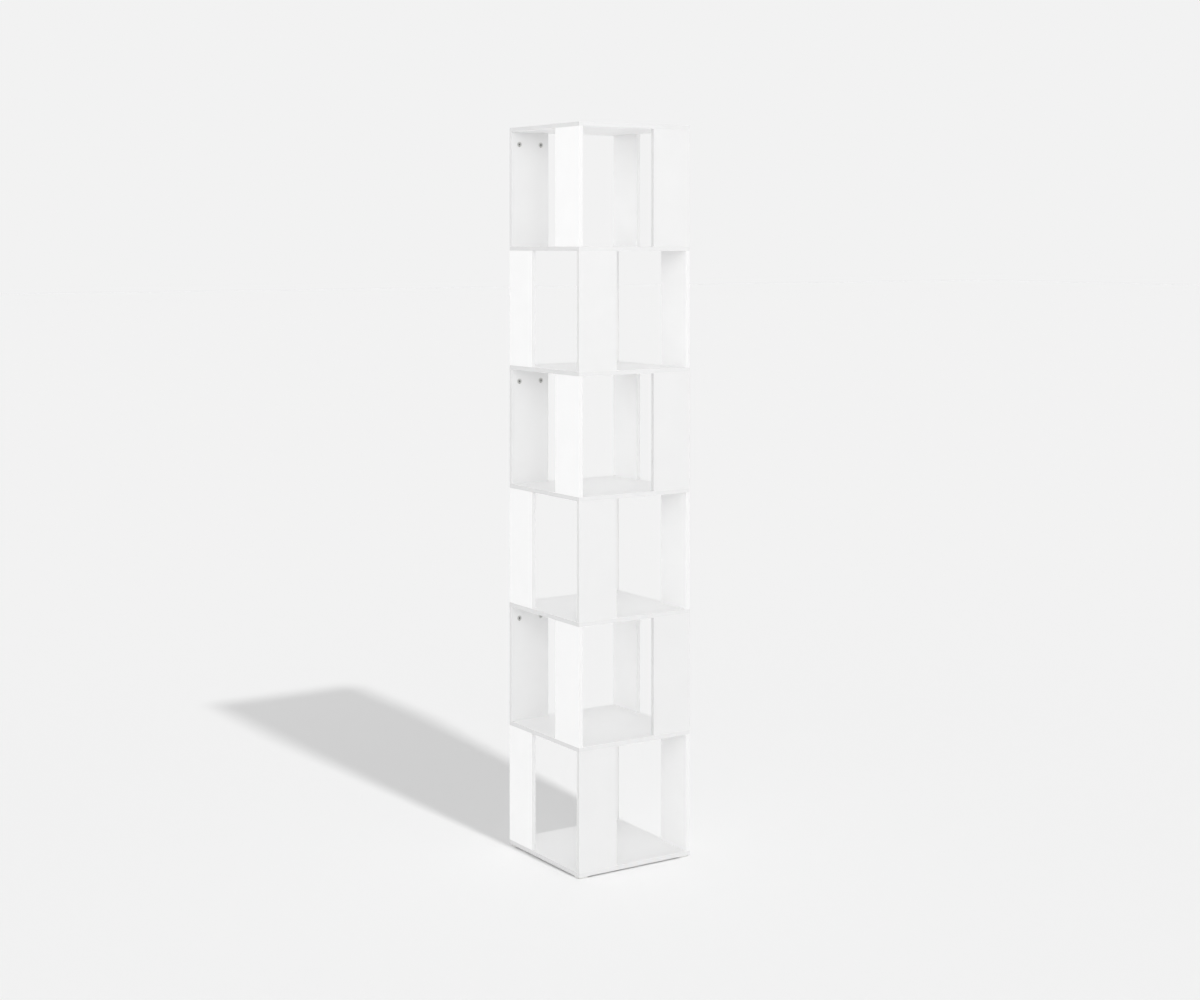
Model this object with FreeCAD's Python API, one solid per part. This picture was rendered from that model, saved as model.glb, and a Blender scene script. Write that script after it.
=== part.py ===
"""Spine bookshelf: a square tower of seven plates with one upright panel at each corner of every level.

The panels turn like a pinwheel: they stand at the left end of each face on odd levels and at the right end
on even levels, so each corner carries them in turn along one face and the other. Millimetres, +Z up. The
origin is on the floor under the middle of the tower, and the front is the -Y face. Levels and plates count
from the floor up, and left and right are as seen from the front.

The tower comes as three glued modules and a loose top plate. A module is its lower plate, an odd level, a
shelf and an even level. Loose tongues line up every seam. Two cam locks in the back panel of each even level
draw down the plate that lies on it.
"""

import FreeCAD
import Part
import math
import os

from FreeCAD import Placement, Rotation, Vector

os.makedirs("parts", exist_ok=True)

# The tower, as deep as it is wide
tower_width = 360.0
level_count = 6
clear_height = 319.0
plate_thickness = 12.0

# The upright panels
panel_width = 120.0
panel_thickness = 12.0

# Lacquered edges are eased by this chamfer. Panel ends stay square, where they meet a plate.
edge_easing = 0.5

# Loose tongues across the seams between panels and plates
tongue_setback = 18.0
tongue_thickness = 4.0
tongue_in_plate = 7.0
tongue_in_panel = 9.0
groove_end_room = 1.0
groove_side_clearance = 0.05

# Cams, in bores in the inner face of the panel
cam_from_panel_edge = 25.0
cam_below_plate = 34.0
cam_radius = 7.4
cam_running_clearance = 0.1
cam_end_room = 0.4
skin_behind_cam = 2.0

# Bolts, screwed into the plate above and hooked by the cams
bolt_shank_radius = 3.0
bolt_neck_radius = 1.7
bolt_head_radius = 2.8
bolt_head_length = 2.9
shank_to_cam_gap = 0.8
skin_above_bolt = 2.5
bolt_end_room = 0.5
bolt_hole_clearance = 0.05
bolt_bore_clearance = 0.5

# The track inside a cam: the wall thickens by cam_draw as the cam closes, which draws the head in
cam_opening_degrees = 180.0
cam_draw = 1.3
cam_wall_when_closed = 2.7
shoulder_clearance = 0.03
neck_clearance = 0.2
head_clearance = 0.1
socket_across_flats = 4.0
pointer_width = 1.2
pointer_length = 2.0
pointer_depth = 0.6

# Self-adhesive glides under the corners
glide_width = 28.0
glide_height = 4.0
glide_inset = 3.0
glide_corner_cut = 4.0

# The faces, each a quarter turn from the last, seen from above
faces = ("front", "right", "back", "left")
lock_face = "back"

half_tower = tower_width / 2
level_pitch = clear_height + plate_thickness
bolt_axis_depth = panel_thickness / 2
cam_bore_depth = panel_thickness - skin_behind_cam
cam_length = cam_bore_depth - cam_end_room
bolt_hole_depth = plate_thickness - skin_above_bolt

origin = Vector(0, 0, 0)
axis_x = Vector(1, 0, 0)
axis_y = Vector(0, 1, 0)
axis_z = Vector(0, 0, 1)


def plate_bottom(index):
    """Underside of a plate. Plate 0 is the base, and plate n lies on level n."""
    return glide_height + index * level_pitch


def level_bottom(level):
    return plate_bottom(level - 1) + plate_thickness


def has_locks(level, face):
    """Even levels end a module, and their back panels hold the plate above by cam locks."""
    return level > 0 and level % 2 == 0 and face == lock_face


def panel_start(level):
    """Left end of the front panel, which stands at the right end of its face on even levels."""
    return half_tower - panel_width if level % 2 == 0 else -half_tower


def turned(shape, face):
    """A shape made for the front face, turned about the tower's axis to another face."""
    moved = shape.copy()
    moved.rotate(origin, axis_z, 90.0 * faces.index(face))
    return moved


# Tongues, and the grooves for them


def seam_block(level, bottom, room, clearance):
    """A tongue of the front panel of a level, or with room and clearance its two grooves in one block."""
    length = panel_width - 2 * tongue_setback + 2 * room
    thickness = tongue_thickness + 2 * clearance
    height = tongue_in_plate + tongue_in_panel + 2 * room
    corner = Vector(
        panel_start(level) + tongue_setback - room,
        -half_tower + (panel_thickness - thickness) / 2,
        bottom - room,
    )
    return Part.makeBox(length, thickness, height, corner)


def foot_tongue(level, room=0.0, clearance=0.0):
    """Across the seam under a panel."""
    return seam_block(level, level_bottom(level) - tongue_in_plate, room, clearance)


def head_tongue(level, room=0.0, clearance=0.0):
    """Across the seam over a panel."""
    return seam_block(level, plate_bottom(level) - tongue_in_panel, room, clearance)


def foot_grooves(level):
    return foot_tongue(level, groove_end_room, groove_side_clearance)


def head_grooves(level):
    return head_tongue(level, groove_end_room, groove_side_clearance)


# Cam locks. Their pieces and bores are made with the axis of the cam along Z, the face of the cam at z = 0
# and the bolt along +Y, and are then laid into the inner face of the front panel.


def lock_places(level):
    """How far along the front face the cams are. On the back face the order is reversed: left, right."""
    first = panel_start(level) + cam_from_panel_edge
    last = panel_start(level) + panel_width - cam_from_panel_edge
    return {"left": last, "right": first}


def laid_in_panel(shape, level, along):
    """Z turns to point into the shelf, and Y upwards."""
    cam_centre = Vector(along, -half_tower + panel_thickness, plate_bottom(level) - cam_below_plate)
    laid = Placement(cam_centre, Rotation(axis_z, 180.0) * Rotation(axis_x, 90.0))
    moved = shape.copy()
    moved.Placement = laid * moved.Placement
    return turned(moved, lock_face)


def around_bolt(radius, start, end):
    """A cylinder about the bolt, between two distances from the axis of the cam."""
    return Part.makeCylinder(radius, end - start, Vector(0, start, -bolt_axis_depth), axis_y)


def radial_channel(half_width, half_depth, angle):
    """A channel from the axis of the cam outwards, level with the bolt."""
    channel = Part.makeBox(2 * half_width, 2 * cam_radius, 2 * half_depth)
    channel.translate(Vector(-half_width, 0, -bolt_axis_depth - half_depth))
    channel.rotate(origin, axis_z, angle - 90.0)
    return channel


def cam():
    """The cam, closed. It opens by turning anticlockwise, seen from its face."""
    entry_angle = 90.0 - cam_opening_degrees
    head_room = bolt_head_radius + head_clearance
    neck_room = bolt_neck_radius + neck_clearance
    body = Part.makeCylinder(cam_radius, cam_length, -cam_length * axis_z)

    # The chamber is bored off centre, so that its wall is thinnest at the entry.
    off_centre = cam_draw / 2
    chamber_radius = cam_radius - cam_wall_when_closed + off_centre
    chamber_centre = Rotation(axis_z, entry_angle).multVec(off_centre * axis_x)
    chamber_floor = head_room - bolt_axis_depth
    chamber_height = cam_length + chamber_floor
    chamber = Part.makeCylinder(chamber_radius, chamber_height, chamber_centre - cam_length * axis_z)

    # The neck travels in a slot through the wall, and the head comes in by the entry at its open end.
    slot_start = (-bolt_axis_depth - neck_room) * axis_z
    slot = Part.makeCylinder(2 * cam_radius, 2 * neck_room, slot_start, axis_z, cam_opening_degrees)
    slot.rotate(origin, axis_z, entry_angle)
    slot_end = radial_channel(head_room, neck_room, 90.0)
    entry = radial_channel(head_room, head_room, entry_angle)

    return body.cut([chamber, slot, slot_end, entry, drive_socket(chamber_floor), pointer(entry_angle)])


def drive_socket(floor):
    """A hexagon socket through the face of the cam into its chamber."""
    corner = socket_across_flats / math.sqrt(3) * axis_x + floor * axis_z
    corners = [Rotation(axis_z, 60.0 * turn).multVec(corner) for turn in range(7)]
    return Part.Face(Part.makePolygon(corners)).extrude(-floor * axis_z)


def pointer(angle):
    """A notch in the face of the cam, over its entry."""
    notch = Part.makeBox(pointer_width, pointer_length, pointer_depth)
    notch.translate(Vector(-pointer_width / 2, cam_radius - pointer_length, -pointer_depth))
    notch.rotate(origin, axis_z, angle - 90.0)
    return notch


def cam_bolt():
    """One revolved outline, from the end screwed into the plate down to the head in the cam."""
    # The shoulder is a cone of 45 degrees, which meets the wall of the chamber at the edges of the slot.
    shoulder = cam_radius - cam_wall_when_closed - shoulder_clearance + neck_clearance
    rim = shoulder - (bolt_head_radius - bolt_neck_radius)
    head_end = shoulder - bolt_head_length
    shank_start = cam_radius + shank_to_cam_gap
    shank_end = cam_below_plate + bolt_hole_depth - bolt_end_room
    outline = (
        Vector(0, head_end, 0),
        Vector(bolt_head_radius, head_end, 0),
        Vector(bolt_head_radius, rim, 0),
        Vector(bolt_neck_radius, shoulder, 0),
        Vector(bolt_neck_radius, shank_start, 0),
        Vector(bolt_shank_radius, shank_start, 0),
        Vector(bolt_shank_radius, shank_end, 0),
        Vector(0, shank_end, 0),
        Vector(0, head_end, 0),
    )
    bolt = Part.Face(Part.makePolygon(outline)).revolve(origin, axis_y, 360.0)
    bolt.translate(-bolt_axis_depth * axis_z)
    return bolt


def lock_bores():
    """In the panel: a blind bore for the cam, and one for the bolt down from the head of the panel."""
    cam_bore = Part.makeCylinder(cam_radius + cam_running_clearance, cam_bore_depth, -cam_bore_depth * axis_z)
    return cam_bore.fuse(around_bolt(bolt_shank_radius + bolt_bore_clearance, 0, cam_below_plate))


def bolt_hole():
    """In the plate above: the blind hole that the bolt is screwed into."""
    radius = bolt_shank_radius + bolt_hole_clearance
    return around_bolt(radius, cam_below_plate, cam_below_plate + bolt_hole_depth)


# Boards and glides


def panel(level, face):
    corner = Vector(panel_start(level), -half_tower, level_bottom(level))
    board = Part.makeBox(panel_width, panel_thickness, clear_height, corner)
    upright_edges = [edge for edge in board.Edges if edge.tangentAt(0).cross(axis_z).Length == 0]
    board = board.makeChamfer(edge_easing, upright_edges)
    board = board.cut(foot_grooves(level))
    if not has_locks(level, face):
        return turned(board.cut(head_grooves(level)), face)
    bores = [laid_in_panel(lock_bores(), level, along) for along in lock_places(level).values()]
    return turned(board, face).cut(bores)


def plate(index):
    corner = Vector(-half_tower, -half_tower, plate_bottom(index))
    board = Part.makeBox(tower_width, tower_width, plate_thickness, corner)
    board = board.makeChamfer(edge_easing, board.Edges)
    cuts = []
    for face in faces:
        if index < level_count:
            cuts.append(turned(foot_grooves(index + 1), face))
        if has_locks(index, face):
            cuts += [laid_in_panel(bolt_hole(), index, along) for along in lock_places(index).values()]
        elif index > 0:
            cuts.append(turned(head_grooves(index), face))
    return board.cut(cuts)


def plate_name(index):
    ends = {0: "base_plate", level_count: "top_plate"}
    return ends.get(index, f"shelf_{index}")


def plate_tongues(index):
    """All tongues that reach into a plate, from the panels on it and from those under it."""
    tongues = []
    for face in faces:
        if index < level_count:
            tongues.append(turned(foot_tongue(index + 1), face))
        if index > 0 and not has_locks(index, face):
            tongues.append(turned(head_tongue(index), face))
    return tongues


def glide():
    """A square pad with its corners cut, under the front left corner."""
    corner = Vector(-half_tower + glide_inset, -half_tower + glide_inset, 0)
    pad = Part.makeBox(glide_width, glide_width, glide_height, corner)
    upright_edges = [edge for edge in pad.Edges if edge.tangentAt(0).cross(axis_z).Length == 0]
    return pad.makeChamfer(glide_corner_cut, upright_edges)


def save(name, solids):
    shape = solids[0] if len(solids) == 1 else Part.makeCompound(solids)
    shape.exportStep(f"parts/{name}.step")


for index in range(level_count + 1):
    save(plate_name(index), [plate(index)])
    save(f"{plate_name(index)}_tongues", plate_tongues(index))

for level in range(1, level_count + 1):
    for face in faces:
        save(f"level_{level}_{face}_panel", [panel(level, face)])
    if has_locks(level, lock_face):
        places = lock_places(level)
        for place, along in places.items():
            save(f"level_{level}_{place}_cam", [laid_in_panel(cam(), level, along)])
        bolts = [laid_in_panel(cam_bolt(), level, along) for along in places.values()]
        save(f"{plate_name(level)}_bolts", bolts)

save("corner_glides", [turned(glide(), face) for face in faces])
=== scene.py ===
"""Spine bookshelf: finishes, light and camera for the tower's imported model. Metres, +Z up, front at -Y."""

import math

import bpy
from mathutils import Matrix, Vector

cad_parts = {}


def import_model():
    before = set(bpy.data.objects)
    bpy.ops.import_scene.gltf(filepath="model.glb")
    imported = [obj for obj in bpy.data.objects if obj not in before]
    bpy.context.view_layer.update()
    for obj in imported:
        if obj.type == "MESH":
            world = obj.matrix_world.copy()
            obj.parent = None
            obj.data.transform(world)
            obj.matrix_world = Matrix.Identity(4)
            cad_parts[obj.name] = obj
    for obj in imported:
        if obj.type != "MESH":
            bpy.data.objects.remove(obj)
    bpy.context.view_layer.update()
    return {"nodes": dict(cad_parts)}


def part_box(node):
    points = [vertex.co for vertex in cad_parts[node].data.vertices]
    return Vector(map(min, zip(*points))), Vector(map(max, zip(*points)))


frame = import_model()

MM = 0.001

# Lacquered boards. The orange peel is really about 2 mm across and the raised fibres 0.3 mm: both are drawn
# coarser, so that they show at all.
cloud_mm = 80.0
cloud_tone = 0.985
face_roughness = (0.34, 0.42)
edge_roughness = 0.6
peel_mm = 6.0
fibre_mm = 1.2
skin_relief_mm = 0.01
lacquer_ior = 1.5
# A face's normal lies along the board's thickness by more than this, and an edge's by less.
least_on_face = 0.6

# Cams. The sandy skin is really about 0.2 mm: drawn coarser, so that it shows.
# The middle colour is painted shade round the socket, and the recess colour is painted shade in the socket
# and the pointer's notch.
cam_middle_shade_colour = "#c4c4c2"
cam_rim_colour = "#dadad8"
cam_recess_shade_colour = "#343433"
cam_rim_share = (0.62, 0.72)
recess_depth_mm = (0.05, 0.6)
cast_skin_mm = 0.6
cast_skin_relief_mm = 0.02
cast_tone = 0.92
cast_roughness = (0.4, 0.55)

# Bolts. The turning rings are really about 0.1 mm apart: drawn coarser, so that they show.
plating_colour = "#ccd0d2"
ring_mm = 0.4
ring_relief_mm = 0.01
plating_cloud_mm = 4.0
plating_tone = 0.88
plating_roughness = (0.25, 0.4)

# Tongues: the thickness of a veneer, and how wide and long a fleck of beech is
beech_dark = "#c69c72"
beech_light = "#dcb98e"
veneer_mm = 1.3
veneer_blur = 0.4
fleck_width_mm = 0.5
fleck_length_mm = 3.0
fleck_detail = 3.0
fleck_range = (0.35, 0.55)
fleck_tone = 0.8
wood_roughness = (0.8, 0.7)
grain_relief_mm = 0.05
wood_ior = 1.5

# Glides. The grain of the mould is really about 0.1 mm: drawn coarser, so that it shows.
polyethylene_colour = "#dededb"
mould_grain_mm = 0.8
mould_relief_mm = 0.02
mould_tone = 0.94
mould_roughness = (0.65, 0.55)
polyethylene_ior = 1.51

# What Blender's noise mostly keeps between
noise_low = 0.3
noise_high = 0.7

# Camera, level, at eye height
camera_place = Vector((-2.967, -4.523, 1.680))
camera_heading = math.radians(33.30)
lens_mm = 58.65
sensor_mm = 36.0
view_down = 0.214

# Light
studio_white = "#f2f2f2"
# The dome is brightest at the horizon and fades to nothing overhead, so the floor gets half of that strength.
dome_strength = 1.365
floor_ambient = dome_strength / 2
softbox_place = Vector((-2.0, -3.2, 3.0))
softbox_target = Vector((0, 0, 1.4))
softbox_side = 2.4
softbox_watts = 28.0
shadow_lamp_place = Vector((-0.075, -3.30, 5.45))
shadow_lamp_radius = 0.11
shadow_lamp_share = 0.365
# With this strength and an even falloff, a lamp of 1 W lights what faces it as a dome of strength 1 does.
lamp_unit = 4 * math.pi**2
floor_half_width = 60.0
camera_reach = 4 * floor_half_width


def linear(colour):
    """An sRGB hex colour as linear red, green, blue and alpha."""
    channels = [int(colour[start : start + 2], 16) / 255 for start in (1, 3, 5)]
    return [c / 12.92 if c <= 0.04045 else ((c + 0.055) / 1.055) ** 2.4 for c in channels] + [1.0]


def node(tree, kind, inputs=None, **settings):
    """Adds a node with its settings, and sets or links its inputs.

    Inputs go by Blender's names or numbers. A mix has its factor at 0, its numbers at 2 and 3 and its colours
    at 6 and 7. A Map Range has the ends that it reads at 1 and 2 and the ends that it gives at 3 and 4."""
    made = tree.nodes.new(kind)
    for name, value in settings.items():
        setattr(made, name, value)
    for socket, value in (inputs or {}).items():
        if isinstance(value, bpy.types.NodeSocket):
            tree.links.new(value, made.inputs[socket])
        else:
            made.inputs[socket].default_value = value
    return made


def new_material(name):
    made = bpy.data.materials.new(name)
    made.use_nodes = True
    made.node_tree.nodes.clear()
    return made


def satin_lacquer(name, broad_axis, face_colour, edge_colours_with_shade):
    """Satin lacquer, sprayed on boards of medium density fibreboard and rubbed down between coats.

    The eye gets a smooth white with a soft sheen, which drifts a little over a board. The sawn edges drink
    more of the lacquer, so they are duller and a shade greyer. Those that look along X are painted greyer
    still, as painted shade. broad_axis is the one that the board's faces look along, and the edge colours
    are those of the edges that look along X and of the others."""
    made = new_material(name)
    tree = made.node_tree
    place = node(tree, "ShaderNodeTexCoord")
    split = node(tree, "ShaderNodeSeparateXYZ", {0: place.outputs["Normal"]})
    facing = node(tree, "ShaderNodeMath", {0: split.outputs[broad_axis]}, operation="ABSOLUTE")
    edge = node(tree, "ShaderNodeMath", {0: facing.outputs[0], 1: least_on_face}, operation="LESS_THAN")
    on_edge = edge.outputs[0]
    # Edges that look along X are painted greyer than the others: painted shade.
    sideways = node(tree, "ShaderNodeMath", {0: split.outputs["X"]}, operation="ABSOLUTE")
    edge_tints = {0: sideways.outputs[0], 6: linear(edge_colours_with_shade[1]), 7: linear(edge_colours_with_shade[0])}
    edge_tint = node(tree, "ShaderNodeMix", edge_tints, data_type="RGBA")
    board_tints = {0: on_edge, 6: linear(face_colour), 7: edge_tint.outputs[2]}
    board_tint = node(tree, "ShaderNodeMix", board_tints, data_type="RGBA")

    # The coat lies a little thicker here and thinner there.
    wide = {"Vector": place.outputs["Object"], "Scale": 1 / (cloud_mm * MM)}
    cloud = node(tree, "ShaderNodeTexNoise", wide)
    thinner = {0: cloud.outputs[0], 1: noise_low, 2: noise_high, 3: cloud_tone, 4: 1.0}
    drift = node(tree, "ShaderNodeMapRange", thinner)
    drifted = {0: 1.0, 6: board_tint.outputs[2], 7: drift.outputs[0]}
    tint = node(tree, "ShaderNodeMix", drifted, data_type="RGBA", blend_type="MULTIPLY")
    duller = {0: cloud.outputs[0], 1: noise_low, 2: noise_high, 3: face_roughness[0], 4: face_roughness[1]}
    face_rough = node(tree, "ShaderNodeMapRange", duller)
    rough = node(tree, "ShaderNodeMix", {0: on_edge, 2: face_rough.outputs[0], 3: edge_roughness})

    # Orange peel on the faces, raised fibres on the edges
    dimpled = {"Vector": place.outputs["Object"], "Scale": 1 / (peel_mm * MM)}
    peel = node(tree, "ShaderNodeTexNoise", dimpled)
    hairy = {"Vector": place.outputs["Object"], "Scale": 1 / (fibre_mm * MM)}
    fibre = node(tree, "ShaderNodeTexNoise", hairy)
    skin = node(tree, "ShaderNodeMix", {0: on_edge, 2: peel.outputs[0], 3: fibre.outputs[0]})
    bump = node(tree, "ShaderNodeBump", {"Height": skin.outputs[0], "Distance": skin_relief_mm * MM})
    surface = {
        "Base Color": tint.outputs[2],
        "Roughness": rough.outputs[0],
        "IOR": lacquer_ior,
        "Normal": bump.outputs[0],
    }
    shader = node(tree, "ShaderNodeBsdfPrincipled", surface)
    node(tree, "ShaderNodeOutputMaterial", {"Surface": shader.outputs[0]})
    return made


def die_cast_zinc():
    """Zinc alloy, die-cast and then tumbled.

    The eye gets a small grey disc with a dull metal sheen and a sandy skin. Its middle is painted darker than
    its rim, as painted shade round the socket. Light hardly gets into the socket and the pointer's notch, so
    they are painted nearly black, as painted shade."""
    made = new_material("die_cast_zinc")
    tree = made.node_tree
    place = node(tree, "ShaderNodeTexCoord")

    # How far out on the disc, from 0 in its middle to 1 at its rim. Generated runs from 0 to 1 across it.
    # Toward the middle the face is painted darker, as painted shade round the socket.
    across = node(tree, "ShaderNodeSeparateXYZ", {0: place.outputs["Generated"]})
    flat = node(tree, "ShaderNodeCombineXYZ", {"X": across.outputs["X"], "Y": 0.5, "Z": across.outputs["Z"]})
    middle = {0: flat.outputs[0], 1: (0.5, 0.5, 0.5)}
    from_middle = node(tree, "ShaderNodeVectorMath", middle, operation="DISTANCE")
    radius = node(tree, "ShaderNodeMath", {0: from_middle.outputs["Value"], 1: 2.0}, operation="MULTIPLY")
    on_rim = {0: radius.outputs[0], 1: cam_rim_share[0], 2: cam_rim_share[1]}
    rim = node(tree, "ShaderNodeMapRange", on_rim)
    face_tints = {0: rim.outputs[0], 6: linear(cam_middle_shade_colour), 7: linear(cam_rim_colour)}
    face_tint = node(tree, "ShaderNodeMix", face_tints, data_type="RGBA")

    # How far behind the face, which lies at the same depth on every cam. Deeper in, the colour is painted
    # nearly black, as painted shade.
    split = node(tree, "ShaderNodeSeparateXYZ", {0: place.outputs["Object"]})
    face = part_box("level_6_left_cam")[0][1]
    shallow, deep = (face + depth * MM for depth in recess_depth_mm)
    inwards = node(tree, "ShaderNodeMapRange", {0: split.outputs["Y"], 1: shallow, 2: deep})
    depth_tints = {0: inwards.outputs[0], 6: face_tint.outputs[2], 7: linear(cam_recess_shade_colour)}
    depth_tint = node(tree, "ShaderNodeMix", depth_tints, data_type="RGBA")

    fine = {"Vector": place.outputs["Object"], "Scale": 1 / (cast_skin_mm * MM)}
    sand = node(tree, "ShaderNodeTexNoise", fine)
    darker = {0: sand.outputs[0], 1: noise_low, 2: noise_high, 3: cast_tone, 4: 1.0}
    speckle = node(tree, "ShaderNodeMapRange", darker)
    speckled = {0: 1.0, 6: depth_tint.outputs[2], 7: speckle.outputs[0]}
    tint = node(tree, "ShaderNodeMix", speckled, data_type="RGBA", blend_type="MULTIPLY")
    duller = {0: sand.outputs[0], 1: noise_low, 2: noise_high, 3: cast_roughness[0], 4: cast_roughness[1]}
    rough = node(tree, "ShaderNodeMapRange", duller)
    bump = node(tree, "ShaderNodeBump", {"Height": sand.outputs[0], "Distance": cast_skin_relief_mm * MM})
    surface = {
        "Base Color": tint.outputs[2],
        "Metallic": 1.0,
        "Roughness": rough.outputs[0],
        "Normal": bump.outputs[0],
    }
    shader = node(tree, "ShaderNodeBsdfPrincipled", surface)
    node(tree, "ShaderNodeOutputMaterial", {"Surface": shader.outputs[0]})
    return made


def zinc_plated_steel():
    """Steel, turned on a lathe and then zinc plated.

    The eye gets a bright, slightly cold grey with fine rings round the upright bolt."""
    made = new_material("zinc_plated_steel")
    tree = made.node_tree
    place = node(tree, "ShaderNodeTexCoord")
    split = node(tree, "ShaderNodeSeparateXYZ", {0: place.outputs["Object"]})
    turns = {0: split.outputs["Z"], 1: 2 * math.pi / (ring_mm * MM)}
    along = node(tree, "ShaderNodeMath", turns, operation="MULTIPLY")
    ring = node(tree, "ShaderNodeMath", {0: along.outputs[0]}, operation="SINE")
    wide = {"Vector": place.outputs["Object"], "Scale": 1 / (plating_cloud_mm * MM)}
    cloud = node(tree, "ShaderNodeTexNoise", wide)
    darker = {0: cloud.outputs[0], 1: noise_low, 2: noise_high, 3: plating_tone, 4: 1.0}
    tone = node(tree, "ShaderNodeMapRange", darker)
    toned = {0: 1.0, 6: linear(plating_colour), 7: tone.outputs[0]}
    tint = node(tree, "ShaderNodeMix", toned, data_type="RGBA", blend_type="MULTIPLY")
    duller = {0: ring.outputs[0], 1: -1.0, 2: 1.0, 3: plating_roughness[0], 4: plating_roughness[1]}
    rough = node(tree, "ShaderNodeMapRange", duller)
    bump = node(tree, "ShaderNodeBump", {"Height": ring.outputs[0], "Distance": ring_relief_mm * MM})
    surface = {
        "Base Color": tint.outputs[2],
        "Metallic": 1.0,
        "Roughness": rough.outputs[0],
        "Normal": bump.outputs[0],
    }
    shader = node(tree, "ShaderNodeBsdfPrincipled", surface)
    node(tree, "ShaderNodeOutputMaterial", {"Surface": shader.outputs[0]})
    return made


def beech_plywood():
    """Beech plywood, sawn into strips and left raw.

    The eye gets a matt pinkish tan with short darker flecks, and on every cut side the veneers, dark and
    light in turn as their grain turns. A tongue's veneers lie one behind the other from the inside of the
    tower outwards."""
    made = new_material("beech_plywood")
    tree = made.node_tree
    place = node(tree, "ShaderNodeTexCoord")
    split = node(tree, "ShaderNodeSeparateXYZ", {0: place.outputs["Object"]})
    along_x = node(tree, "ShaderNodeMath", {0: split.outputs["X"]}, operation="ABSOLUTE")
    along_y = node(tree, "ShaderNodeMath", {0: split.outputs["Y"]}, operation="ABSOLUTE")
    farther = {0: along_x.outputs[0], 1: along_y.outputs[0]}
    outwards = node(tree, "ShaderNodeMath", farther, operation="MAXIMUM")
    veneers = {0: outwards.outputs[0], 1: math.pi / (veneer_mm * MM)}
    turns = node(tree, "ShaderNodeMath", veneers, operation="MULTIPLY")
    wave = node(tree, "ShaderNodeMath", {0: turns.outputs[0]}, operation="SINE")
    ply = node(tree, "ShaderNodeMapRange", {0: wave.outputs[0], 1: -veneer_blur, 2: veneer_blur})
    ply_tints = {0: ply.outputs[0], 6: linear(beech_dark), 7: linear(beech_light)}
    ply_tint = node(tree, "ShaderNodeMix", ply_tints, data_type="RGBA")
    width, length = 1 / (fleck_width_mm * MM), 1 / (fleck_length_mm * MM)
    slender = {"Vector": place.outputs["Object"], "Scale": (width, width, length)}
    stretched = node(tree, "ShaderNodeMapping", slender)
    streaky = {"Vector": stretched.outputs[0], "Scale": 1.0, "Detail": fleck_detail}
    fleck = node(tree, "ShaderNodeTexNoise", streaky)
    low, high = fleck_range
    darker = {0: fleck.outputs[0], 1: low, 2: high, 3: fleck_tone, 4: 1.0}
    tone = node(tree, "ShaderNodeMapRange", darker)
    flecked = {0: 1.0, 6: ply_tint.outputs[2], 7: tone.outputs[0]}
    tint = node(tree, "ShaderNodeMix", flecked, data_type="RGBA", blend_type="MULTIPLY")
    smoother = {0: fleck.outputs[0], 1: low, 2: high, 3: wood_roughness[0], 4: wood_roughness[1]}
    rough = node(tree, "ShaderNodeMapRange", smoother)
    bump = node(tree, "ShaderNodeBump", {"Height": fleck.outputs[0], "Distance": grain_relief_mm * MM})
    surface = {
        "Base Color": tint.outputs[2],
        "Roughness": rough.outputs[0],
        "IOR": wood_ior,
        "Normal": bump.outputs[0],
    }
    shader = node(tree, "ShaderNodeBsdfPrincipled", surface)
    node(tree, "ShaderNodeOutputMaterial", {"Surface": shader.outputs[0]})
    return made


def moulded_polyethylene():
    """White polyethylene, injection moulded in a finely eroded mould.

    The eye gets a dull, waxy off-white with an even, fine grain."""
    made = new_material("moulded_polyethylene")
    tree = made.node_tree
    place = node(tree, "ShaderNodeTexCoord")
    fine = {"Vector": place.outputs["Object"], "Scale": 1 / (mould_grain_mm * MM)}
    grain = node(tree, "ShaderNodeTexNoise", fine)
    darker = {0: grain.outputs[0], 1: noise_low, 2: noise_high, 3: mould_tone, 4: 1.0}
    tone = node(tree, "ShaderNodeMapRange", darker)
    toned = {0: 1.0, 6: linear(polyethylene_colour), 7: tone.outputs[0]}
    tint = node(tree, "ShaderNodeMix", toned, data_type="RGBA", blend_type="MULTIPLY")
    waxier = {0: grain.outputs[0], 1: noise_low, 2: noise_high, 3: mould_roughness[0], 4: mould_roughness[1]}
    rough = node(tree, "ShaderNodeMapRange", waxier)
    bump = node(tree, "ShaderNodeBump", {"Height": grain.outputs[0], "Distance": mould_relief_mm * MM})
    surface = {
        "Base Color": tint.outputs[2],
        "Roughness": rough.outputs[0],
        "IOR": polyethylene_ior,
        "Normal": bump.outputs[0],
    }
    shader = node(tree, "ShaderNodeBsdfPrincipled", surface)
    node(tree, "ShaderNodeOutputMaterial", {"Surface": shader.outputs[0]})
    return made


# All boards have the same lacquer. The front and back panels are painted a darker white than the shelf boards
# and side panels: painted shade, for the weaker light on faces that look to the front than on those that look
# to the left. The edges that look along X are painted greyer as painted shade too.
shelf_boards = satin_lacquer("satin_lacquer_on_shelf_boards", "Z", "#fafafa", ("#dddddd", "#e8e8e8"))
front_and_back_panels_shaded = satin_lacquer(
    "satin_lacquer_on_front_and_back_panels", "Y", "#ebebeb", ("#e0e0e0", "#e8e8e8")
)
side_panels = satin_lacquer("satin_lacquer_on_side_panels", "X", "#f7f7f7", ("#f2f2f2", "#f2f2f2"))

# The finish of each piece, by how its name ends. Every other piece is a base, shelf or top plate.
finishes = {
    "_cam": die_cast_zinc(),
    "_bolts": zinc_plated_steel(),
    "_tongues": beech_plywood(),
    "_glides": moulded_polyethylene(),
    "_front_panel": front_and_back_panels_shaded,
    "_back_panel": front_and_back_panels_shaded,
    "_left_panel": side_panels,
    "_right_panel": side_panels,
}

for name, piece in frame["nodes"].items():
    finish = next((finishes[ending] for ending in finishes if name.endswith(ending)), shelf_boards)
    piece.data.materials.clear()
    piece.data.materials.append(finish)


# Floor and light


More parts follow.
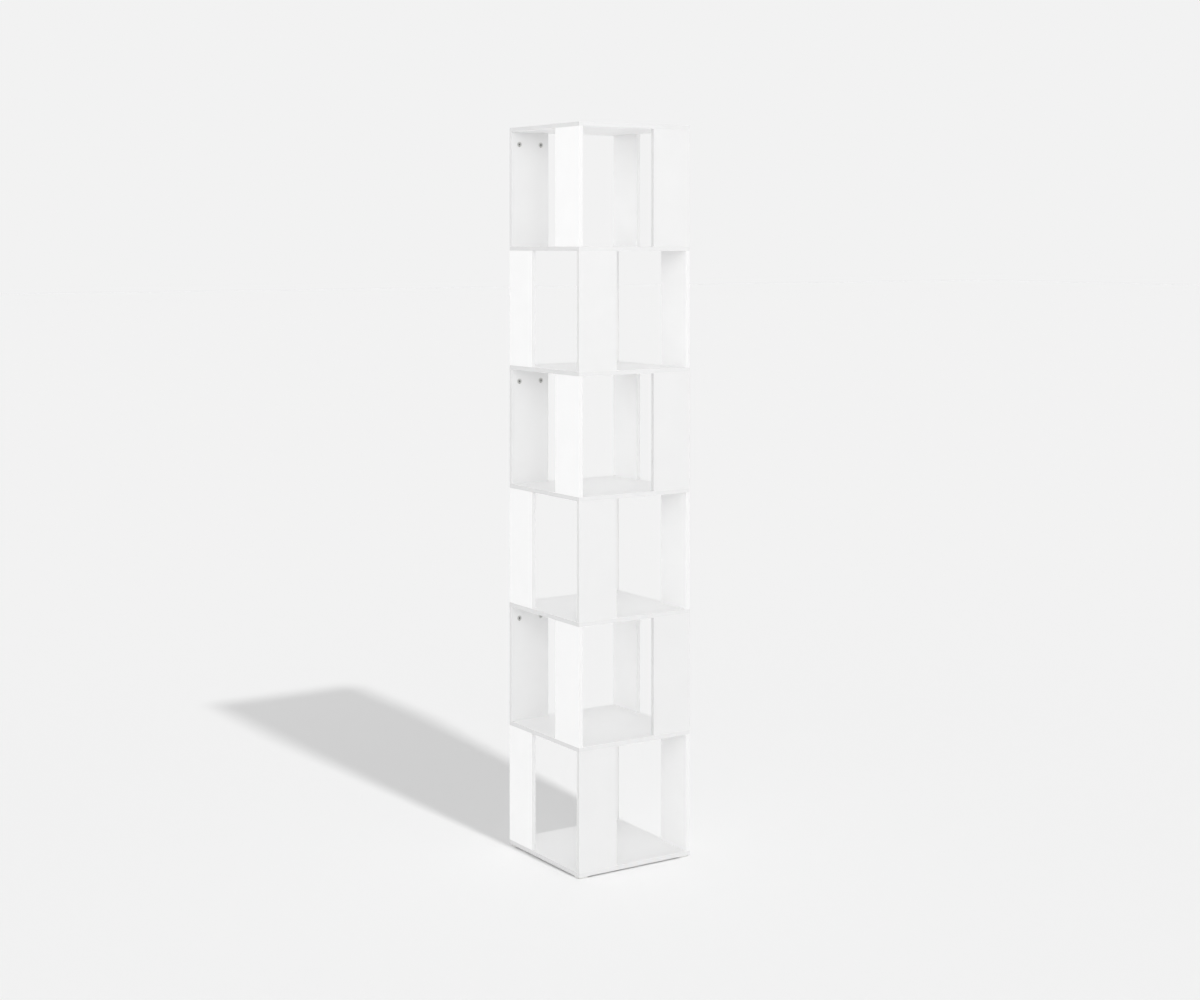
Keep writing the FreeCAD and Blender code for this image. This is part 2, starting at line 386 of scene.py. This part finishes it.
def floor_material():
    """Pale floor. Its colour makes up for the lamp's slant, so that only the shadow stands out on it."""
    made = new_material("studio_floor")
    tree = made.node_tree
    place = node(tree, "ShaderNodeTexCoord")
    to_lamp = {0: place.outputs["Object"], 1: tuple(shadow_lamp_place)}
    reach = node(tree, "ShaderNodeVectorMath", to_lamp, operation="DISTANCE")
    lamp_height = {0: shadow_lamp_place.z, 1: reach.outputs["Value"]}
    slant = node(tree, "ShaderNodeMath", lamp_height, operation="DIVIDE")
    both_lights = {0: slant.outputs[0], 1: shadow_lamp_share, 2: floor_ambient}
    light = node(tree, "ShaderNodeMath", both_lights, operation="MULTIPLY_ADD")
    needed = linear(studio_white)[0]
    tone = node(tree, "ShaderNodeMath", {0: needed, 1: light.outputs[0]}, operation="DIVIDE")
    shader = node(tree, "ShaderNodeBsdfDiffuse", {"Color": tone.outputs[0]})
    node(tree, "ShaderNodeOutputMaterial", {"Surface": shader.outputs[0]})
    return made


def floor():
    mesh = bpy.data.meshes.new("floor")
    r = floor_half_width
    mesh.from_pydata([(-r, -r, 0), (r, -r, 0), (r, r, 0), (-r, r, 0)], [], [(0, 1, 2, 3)])
    made = bpy.data.objects.new("floor", mesh)
    bpy.context.scene.collection.objects.link(made)
    made.data.materials.append(floor_material())
    return made


def shadow_lamp(ground):
    """A lamp in front of the tower, which lights the floor alone and throws the tower's shadow over it."""
    data = bpy.data.lights.new("shadow_lamp", "POINT")
    data.shadow_soft_size = shadow_lamp_radius
    data.energy = 1.0
    data.use_nodes = True
    tree = data.node_tree
    tree.nodes.clear()
    falloff = node(tree, "ShaderNodeLightFalloff", {"Strength": shadow_lamp_share * lamp_unit})
    shader = node(tree, "ShaderNodeEmission", {"Strength": falloff.outputs["Constant"]})
    node(tree, "ShaderNodeOutputLight", {"Surface": shader.outputs[0]})
    made = bpy.data.objects.new("shadow_lamp", data)
    made.location = shadow_lamp_place
    bpy.context.scene.collection.objects.link(made)
    lit = bpy.data.collections.new("lit_by_shadow_lamp")
    lit.objects.link(ground)
    made.light_linking.receiver_collection = lit
    made.visible_camera = False


def softbox():
    """A square softbox in front of the tower and to its left, which lights the tower alone."""
    data = bpy.data.lights.new("softbox", "AREA")
    data.shape = "SQUARE"
    data.size = softbox_side
    data.energy = softbox_watts
    made = bpy.data.objects.new("softbox", data)
    made.location = softbox_place
    made.rotation_euler = (softbox_target - softbox_place).to_track_quat("-Z", "Y").to_euler()
    bpy.context.scene.collection.objects.link(made)
    lit = bpy.data.collections.new("lit_by_softbox")
    for piece in frame["nodes"].values():
        lit.objects.link(piece)
    made.light_linking.receiver_collection = lit
    made.visible_camera = False


def world():
    """A dome that is brightest at the horizon. What is seen of it, also in gloss, is the studio's white."""
    made = bpy.data.worlds.new("studio")
    made.use_nodes = True
    tree = made.node_tree
    tree.nodes.clear()
    place = node(tree, "ShaderNodeTexCoord")
    split = node(tree, "ShaderNodeSeparateXYZ", {0: place.outputs["Generated"]})
    height = node(tree, "ShaderNodeMath", {0: split.outputs["Z"], 1: 2.0}, operation="POWER")
    fading = {0: height.outputs[0], 1: -dome_strength, 2: dome_strength}
    dome = node(tree, "ShaderNodeMath", fading, operation="MULTIPLY_ADD")
    light = node(tree, "ShaderNodeBackground", {"Color": (1, 1, 1, 1), "Strength": dome.outputs[0]})
    seen = node(tree, "ShaderNodeBackground", {"Color": linear(studio_white), "Strength": 1.0})
    path = node(tree, "ShaderNodeLightPath")
    straight = {0: path.outputs["Is Camera Ray"], 1: path.outputs["Is Transmission Ray"]}
    direct = node(tree, "ShaderNodeMath", straight, operation="MAXIMUM")
    or_glossy = {0: direct.outputs[0], 1: path.outputs["Is Glossy Ray"]}
    shown = node(tree, "ShaderNodeMath", or_glossy, operation="MAXIMUM")
    two_skies = {0: shown.outputs[0], 1: light.outputs[0], 2: seen.outputs[0]}
    choice = node(tree, "ShaderNodeMixShader", two_skies)
    node(tree, "ShaderNodeOutputWorld", {"Surface": choice.outputs[0]})
    bpy.context.scene.world = made


def camera():
    data = bpy.data.cameras.new("camera")
    data.lens = lens_mm
    data.sensor_width = sensor_mm
    data.shift_y = -view_down
    data.clip_end = camera_reach
    made = bpy.data.objects.new("camera", data)
    made.location = camera_place
    made.rotation_euler = (math.pi / 2, 0, -camera_heading)
    bpy.context.scene.collection.objects.link(made)
    bpy.context.scene.camera = made


shadow_lamp(floor())
softbox()
world()
camera()
bpy.context.scene.view_settings.view_transform = "Standard"
